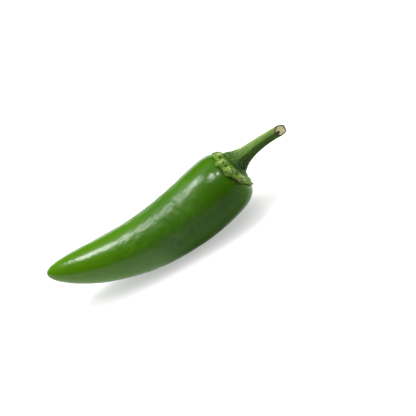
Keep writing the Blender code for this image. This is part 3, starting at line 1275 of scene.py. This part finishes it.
@dataclass
class Stem:
    """The ridged stalk with its slanting cut and the pith inside it."""

    growth: Growth
    length: float = 0.0239
    flare_length: float = 0.0043
    taper: float = 0.09
    ridges: int = 5
    ridge_depth: float = 0.085
    ridge_at_foot: float = 1.3
    ridge_loss: float = 0.8
    ridge_start: float = math.radians(92)
    end_rise: float = math.radians(-20.5)
    end_out: float = math.radians(18)
    cut_share: float = 0.90
    cut_slant: float = math.radians(37)
    # the side of the stem that carries its painted highlight
    painted_light_side: float = math.radians(170)
    foot_sink: float = 0.02
    rim_round: float = 0.00020
    rim_width: float = 0.00038
    rim_swell: float = 0.00006
    swell_length: float = 0.12
    torn_depth: float = 0.00007
    pith_depth: float = 0.00018
    pith_gap: float = 0.00003
    pith_foot_gap: float = 0.00004
    pith_lumps: float = 0.00009
    pith_grain: float = 0.00005
    off_pith_edge: Band = Band(1.0, 0.9)
    recess_depth: float = 0.00055
    hollow_turn: float = math.radians(68)
    hollow_place: float = 0.72
    hollow_depth: float = 0.00016
    in_hollow: Band = Band(0.46, 0.26)
    fibre_depth: float = 0.00009
    fibre_count: float = 3.2
    fibre_drift: float = 0.35
    pucker_depth: float = 0.00045
    rings: int = 150
    sides: int = 180
    pith_steps: int = 26
    turns: list[float] = field(default_factory=list)
    ends: list[float] = field(default_factory=list)
    edges: list[Vector] = field(default_factory=list)

    def __post_init__(self) -> None:
        """Finds where the wall meets the cut, once for every side."""
        self.turns = [math.tau * side / self.sides for side in range(self.sides)]
        self.ends = [self.share_at_cut(turn, self.rim_round) for turn in self.turns]
        middle = self.cut_plane()[0]
        self.edges = [self.wall(self.share_at_cut(turn, 0.0), turn) - middle for turn in self.turns]

    def path(self, share: float) -> tuple[Vector, Vector]:
        """Follows the stem, which bends evenly from its start to its end.

        Args:
            share: share of the way along the stem.

        Returns:
            The point and the direction there.
        """
        start = self.growth.ahead(1)
        angle = self.growth.heading(1) + self.end_rise
        level = Vector((math.cos(angle), 0, math.sin(angle)))
        end = (level * math.cos(self.end_out) + Vector((0, -1, 0)) * math.sin(self.end_out)).normalized()
        root = self.growth.stem_root() + start * GAP
        point = root + (start * share + (end - start) * share * share / 2) * self.length
        return point, start.lerp(end, share).normalized()

    def across(self, share: float) -> tuple[Vector, Vector]:
        """The two directions across the stem: away from the hollow side, and out towards -Y."""
        ahead = self.path(share)[1]
        downward = ahead.cross(Vector((0, -1, 0))).normalized()
        return downward, downward.cross(ahead)

    def ridge(self, around: float) -> float:
        """1 on a ridge and -1 in a groove."""
        return math.cos(self.ridges * (around - self.ridge_start))

    def puckers(self, share: float, around: float) -> float:
        """The small folds where the stem's foot meets the calyx, from about -1 to 1."""
        return noise.noise(Vector((7 * math.cos(around), 7 * math.sin(around), 45 * share)))

    def wall(self, share: float, around: float) -> Vector:
        """A point of the stem's side: a trumpet at the calyx, then a ridged rod.

        Args:
            share: share of the way along the stem.
            around: angle round it.

        Returns:
            The point in the growing frame.
        """
        point = self.path(share)[0]
        downward, outward = self.across(share)
        shrink = math.exp(-share * self.length / self.flare_length)
        radius = self.growth.foot_radius(around, shrink) - self.growth.stem_radius * self.taper * share
        strength = self.ridge_at_foot - self.ridge_loss * share
        radius *= 1 + self.ridge_depth * strength * self.ridge(around)
        side = Vector((math.cos(around), math.sin(around), self.fibre_drift * share)) * self.fibre_count
        radius += self.fibre_depth * noise.noise(side) * (1 + 2 * shrink)
        radius += self.pucker_depth * shrink * self.puckers(share, around)
        radius += self.rim_swell * ease((share - self.cut_share + self.swell_length) / self.swell_length)
        return point + (downward * math.cos(around) + outward * math.sin(around)) * radius

    def cut_plane(self) -> tuple[Vector, Vector]:
        """The middle of the cut and the way it faces."""
        point, ahead = self.path(self.cut_share)
        outward = self.across(self.cut_share)[1]
        return point, ahead * math.cos(self.cut_slant) + outward * math.sin(self.cut_slant)

    def share_at_cut(self, around: float, below: float) -> float:
        """How far along the wall meets a plane below the cut, found by halving.

        Args:
            around: angle round the stem.
            below: how far the plane is below the cut.

        Returns:
            The share of the stem's length.
        """
        middle, facing = self.cut_plane()
        low, high = 0.5, 1.2
        for _ in range(30):
            share = (low + high) / 2
            if (self.wall(share, around) - middle).dot(facing) < -below:
                low = share
            else:
                high = share
        return low

    def on_cut(self, edge: Vector, inset: float, below: float) -> Vector:
        """A point inside the wall's outline at the cut, sunk below the cut by some depth.

        Args:
            edge: from the middle of the cut to its outline.
            inset: how far inside the outline.
            below: how far below the cut.

        Returns:
            The point in the growing frame.
        """
        middle, facing = self.cut_plane()
        return middle + edge * (1 - inset / edge.length) - facing * below

    def build(self) -> bpy.types.Object:
        """The rod: rings up to the cut, a rounded bark rim, and a recess for the pith.

        Returns:
            The rod's object.
        """
        form = bmesh.new()
        rings = []
        rims = []
        shares = []
        for step in range(self.rings + 1):
            part = (step / self.rings) ** 1.15
            along = [end * part - self.foot_sink * (1 - part) for end in self.ends]
            rings.append([form.verts.new(self.wall(share, turn)) for share, turn in zip(along, self.turns)])
            rims.extend(ease(1 + (share - end) / 0.025) for share, end in zip(along, self.ends))
            shares.extend(along)
        for inset, below in self.rim_profile():
            rough = zip(self.edges, self.turns)
            rings.append([form.verts.new(self.rough_rim(edge, turn, inset, below)) for edge, turn in rough])
            rims.extend([1.0] * self.sides)
            shares.extend([1.0] * self.sides)
        joined_rings(form, rings)
        rims.extend([0.0, 1.0])
        shares.extend([0.0, 1.0])
        mesh = closed_mesh("stem_rod", form, self.growth.laid())
        turning = self.turns * len(rings) + [0.0, 0.0]
        keep_values(mesh, "rim", rims)
        keep_values(mesh, "along", shares)
        keep_values(mesh, "ridge", [0.5 + 0.5 * self.ridge(turn) for turn in turning])
        # pucker also places the painted shade in the folds at the stem's foot
        keep_values(mesh, "pucker", [self.puckers(share, turn) for share, turn in zip(shares, turning)])
        # upper: where the stem's painted highlight goes
        keep_values(mesh, "upper", [max(0.0, math.cos(turn - self.painted_light_side)) ** 5 for turn in turning])
        grain = [Vector((math.cos(a), math.sin(a), 0.9 * s)) for a, s in zip(turning, shares)]
        keep_arrows(mesh, "grain", grain)
        return placed("stem_rod", mesh)

    def rim_profile(self) -> list[tuple[float, float]]:
        """The rings that round the rim and go down into the recess.

        Returns:
            The inset and depth of each.
        """
        profile = []
        for step in range(1, 6):
            turn = math.pi / 2 * step / 5
            profile.append((self.rim_round * (1 - math.cos(turn)), self.rim_round * (1 - math.sin(turn))))
        for step in range(1, 5):
            turn = math.pi / 2 * step / 4
            inset = self.rim_width - self.rim_round * math.cos(turn) * 0.6
            profile.append((inset, self.pith_depth * (1 - math.cos(turn))))
        profile.append((self.rim_width, self.recess_depth))
        return profile

    def rough_rim(self, edge: Vector, around: float, inset: float, below: float) -> Vector:
        """A point of the rim, with the roughness of a torn edge."""
        ragged = noise.noise(Vector((4 * math.cos(around), 4 * math.sin(around), inset * 3000)))
        return self.on_cut(edge, inset, below + self.torn_depth * ragged)

    def build_pith(self) -> bpy.types.Object:
        """The pith: a rough disc in the recess, sunk where it has browned at one side.

        Returns:
            The pith's object.
        """
        form = bmesh.new()
        wall = self.rim_width + self.pith_gap
        spot = Vector((math.cos(self.hollow_turn), math.sin(self.hollow_turn), 0)) * self.hollow_place
        rings = []
        hollows = []
        for step in range(self.pith_steps + 1):
            share = 1 - 0.97 * step / self.pith_steps
            ring = []
            for edge, turn in zip(self.edges, self.turns):
                across = Vector((math.cos(turn), math.sin(turn), 0)) * share
                hollow = self.in_hollow.at((across - spot).length)
                rough = self.pith_lumps * noise.noise(across * 5)
                rough += self.pith_grain * noise.noise(across * 13)
                depth = self.pith_depth + rough * self.off_pith_edge.at(share) + self.hollow_depth * hollow
                inset = wall + (edge.length - wall) * (1 - share)
                ring.append(form.verts.new(self.on_cut(edge, inset, depth)))
                hollows.append(hollow)
            rings.append(ring)
        depth = self.recess_depth - self.pith_foot_gap
        foot = [form.verts.new(self.on_cut(edge, wall, depth)) for edge in self.edges]
        rings.insert(0, foot)
        joined_rings(form, rings)
        mesh = closed_mesh("stem_pith", form, self.growth.laid())
        keep_values(mesh, "hollow", hollows + [0.0] * (len(mesh.vertices) - len(hollows)))
        return placed("stem_pith", mesh)

    def dress(self, rod: bpy.types.Object, pith: bpy.types.Object, effects: PlantEffects) -> None:
        """Gives the rod and the pith their finishes."""
        dressed(rod, RidgedStalk().make(effects), stands_for="stem")
        dressed(pith, CutPith().make(effects))


@dataclass(frozen=True)
class Softbox:
    """A rectangular studio light aimed at the pepper."""

    name: str
    azimuth: float
    elevation: float
    distance: float
    width: float
    height: float
    power: float
    shine: Shine = Shine.BOTH

    def light(self, target: Vector) -> None:
        """Hangs the light. Azimuth 0 is the -Y side and 90 the +X side, in degrees.

        Args:
            target: the point that it is aimed at.
        """
        data = bpy.data.lights.new(self.name, "AREA")
        data.shape = "RECTANGLE"
        data.size = self.width
        data.size_y = self.height
        data.energy = self.power
        turn = math.radians(self.azimuth)
        rise = math.radians(self.elevation)
        away = Vector((math.sin(turn) * math.cos(rise), -math.cos(turn) * math.cos(rise), math.sin(rise)))
        lamp = bpy.data.objects.new(self.name, data)
        lamp.location = target + away * self.distance
        lamp.rotation_euler = away.to_track_quat("Z", "Y").to_euler()
        lamp.visible_glossy = self.shine is not Shine.FILL
        lamp.visible_diffuse = self.shine is not Shine.GLINT
        bpy.context.scene.collection.objects.link(lamp)


@dataclass(frozen=True)
class Viewpoint:
    """The photograph's camera: a long lens, held askew."""

    azimuth: float = math.radians(10.7189)
    elevation: float = math.radians(28)
    roll: float = math.radians(35.3615)
    distance: float = 0.396746
    look_at: tuple[float, float, float] = (0.0003415, 0.0, 0.014)
    aside: float = 0.0132883
    above: float = 0.0034484
    lens: float = 90.0
    sensor: float = 36.0

    def set_up(self) -> None:
        """Places the camera and makes it the scene's."""
        level = math.cos(self.elevation)
        turn = self.azimuth
        back = Vector((math.sin(turn) * level, -math.cos(turn) * level, math.sin(self.elevation)))
        right = Vector((0, 0, 1)).cross(back).normalized()
        turned = Matrix.Rotation(self.roll, 3, back)
        upright = Matrix((right, back.cross(right), back)).transposed()
        axes = turned.inverted() @ upright
        look = Vector(self.look_at) + axes.col[0] * self.aside + axes.col[1] * self.above
        data = bpy.data.cameras.new("camera")
        data.lens = self.lens
        data.sensor_width = self.sensor
        data.clip_start = 0.01
        camera = bpy.data.objects.new("camera", data)
        camera.matrix_world = Matrix.Translation(look + back * self.distance) @ axes.to_4x4()
        bpy.context.scene.collection.objects.link(camera)
        bpy.context.scene.camera = camera


@dataclass
class Studio:
    """The white table, the soft lights and the dim room."""

    table_side: float = 3.0
    table_drop: float = 0.0001
    table_tone: float = 0.25
    table_roughness: float = 0.8
    table_specular: float = 0.2
    table_glow: float = 0.92
    table_bounce: float = 0.95
    table_gleam: float = 0.60
    dim_right: Band = Band(-0.022, 0.006)
    dim_front: Band = Band(0.0, -0.012)
    dim_share: float = 0.10
    corner_reach: float = 0.016
    corner_shade: float = 0.45
    room: float = 0.03
    backdrop: float = 1.0
    aim_height: float = 0.014
    lights: tuple[Softbox, ...] = (
        Softbox("streak_softbox", -85, 66.5, 0.9, 0.29, 0.20, 4.0),
        Softbox("shoulder_softbox", 4, 67, 0.9, 0.09, 0.20, 2.1, Shine.GLINT),
        Softbox("spot_softbox", 44, 60, 0.9, 0.05, 0.05, 1.4, Shine.GLINT),
        Softbox("top_softbox", 180, 77, 1.0, 0.55, 0.45, 10.2, Shine.FILL),
        Softbox("ceiling_panel", -170, 66, 1.2, 0.90, 0.40, 0.45),
        Softbox("left_card", -92, 5, 1.3, 0.80, 0.16, 0.30),
        Softbox("right_card", 104, 6, 1.3, 0.60, 0.30, 9.0, Shine.FILL),
        Softbox("back_wall", -165, 9, 1.6, 2.4, 0.55, 5.5),
    )

    def set_up(self) -> None:
        """Lays the table, fills the room and hangs the lights."""
        self.lay_table()
        self.fill_room()
        for softbox in self.lights:
            softbox.light(Vector((0, 0, self.aim_height)))
        bpy.context.scene.view_settings.view_transform = "Standard"

    def lay_table(self) -> None:
        """One big white square, a hair below the belly."""
        mesh = bpy.data.meshes.new("table")
        half = self.table_side / 2
        corners = [(-half, -half), (half, -half), (half, half), (-half, half)]
        mesh.from_pydata([(x, y, -self.table_drop) for x, y in corners], [], [(0, 1, 2, 3)])
        placed("table", mesh)
        mesh.materials.append(self.table_white())

    def table_white(self) -> bpy.types.Material:
        """White that glows by its own measure for the camera, the light and the mirror image, with a
        painted contact shadow where the camera's glow dims near the pepper.

        Returns:
            The table's material.
        """
        white = bpy.data.materials.new("white_table")
        white.use_nodes = True
        graph = Graph(white.node_tree)
        shader = white.node_tree.nodes["Principled BSDF"]
        shader.inputs["Base Color"].default_value = (self.table_tone,) * 3 + (1,)
        shader.inputs["Roughness"].default_value = self.table_roughness
        shader.inputs["Specular IOR Level"].default_value = self.table_specular
        shader.inputs["Emission Color"].default_value = (1, 1, 1, 1)
        path = graph.add("ShaderNodeLightPath").outputs
        # painted contact shadow: the glow that the camera sees dims where the pepper closes off the sky, by
        # ambient occlusion
        corner = {"Distance": self.corner_reach}
        open_sky = graph.call("ShaderNodeAmbientOcclusion", corner, output="AO", samples=8)
        open_sky = graph.ramp(open_sky, 0.0, 1.0, self.corner_shade, 1.0)
        glow = graph.product(path["Is Camera Ray"], open_sky, self.table_glow)
        lit = self.lit_share(graph)
        bounce = graph.product(path["Is Diffuse Ray"], self.table_bounce, lit)
        gleam = graph.product(path["Is Glossy Ray"], self.table_gleam, lit)
        graph.feed(shader.inputs["Emission Strength"], graph.total(glow, bounce, gleam))
        return white

    def lit_share(self, graph: Graph) -> Socket:
        """How bright each place of the table is to the pepper: dim at the front right.

        Args:
            graph: the table material's graph.

        Returns:
            The share's socket, 1 away from the dim place.
        """
        place = graph.add("ShaderNodeSeparateXYZ")
        graph.feed(place.inputs[0], graph.call("ShaderNodeTexCoord", {}, output="Object"))
        to_right = graph.step(place.outputs["X"], self.dim_right)
        to_front = graph.step(place.outputs["Y"], self.dim_front)
        return graph.ramp(graph.product(to_right, to_front), 0.0, 1.0, 1.0, self.dim_share)

    def fill_room(self) -> None:
        """The room round the table: white to the camera and nearly dark to the pepper."""
        world = bpy.data.worlds.new("room")
        world.use_nodes = True
        air = Graph(world.node_tree)
        seen = air.add("ShaderNodeLightPath").outputs["Is Camera Ray"]
        backdrop = world.node_tree.nodes["Background"]
        backdrop.inputs["Color"].default_value = (1, 1, 1, 1)
        air.feed(backdrop.inputs["Strength"], air.ramp(seen, 0.0, 1.0, self.room, self.backdrop))
        bpy.context.scene.world = world


def main() -> None:
    """Loads the frame, grows and dresses the pepper, and sets up the studio."""
    logging.basicConfig(level=logging.INFO, format="%(name)s: %(message)s")
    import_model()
    effects = PlantEffects()
    growth = Growth()
    pod = Pod(growth)
    pod.dress(pod.build(), effects)
    calyx = Calyx(growth)
    calyx.dress(calyx.build(), calyx.build_tips(), effects)
    stem = Stem(growth)
    stem.dress(stem.build(), stem.build_pith(), effects)
    Studio().set_up()
    Viewpoint().set_up()


if __name__ == "__main__":
    main()
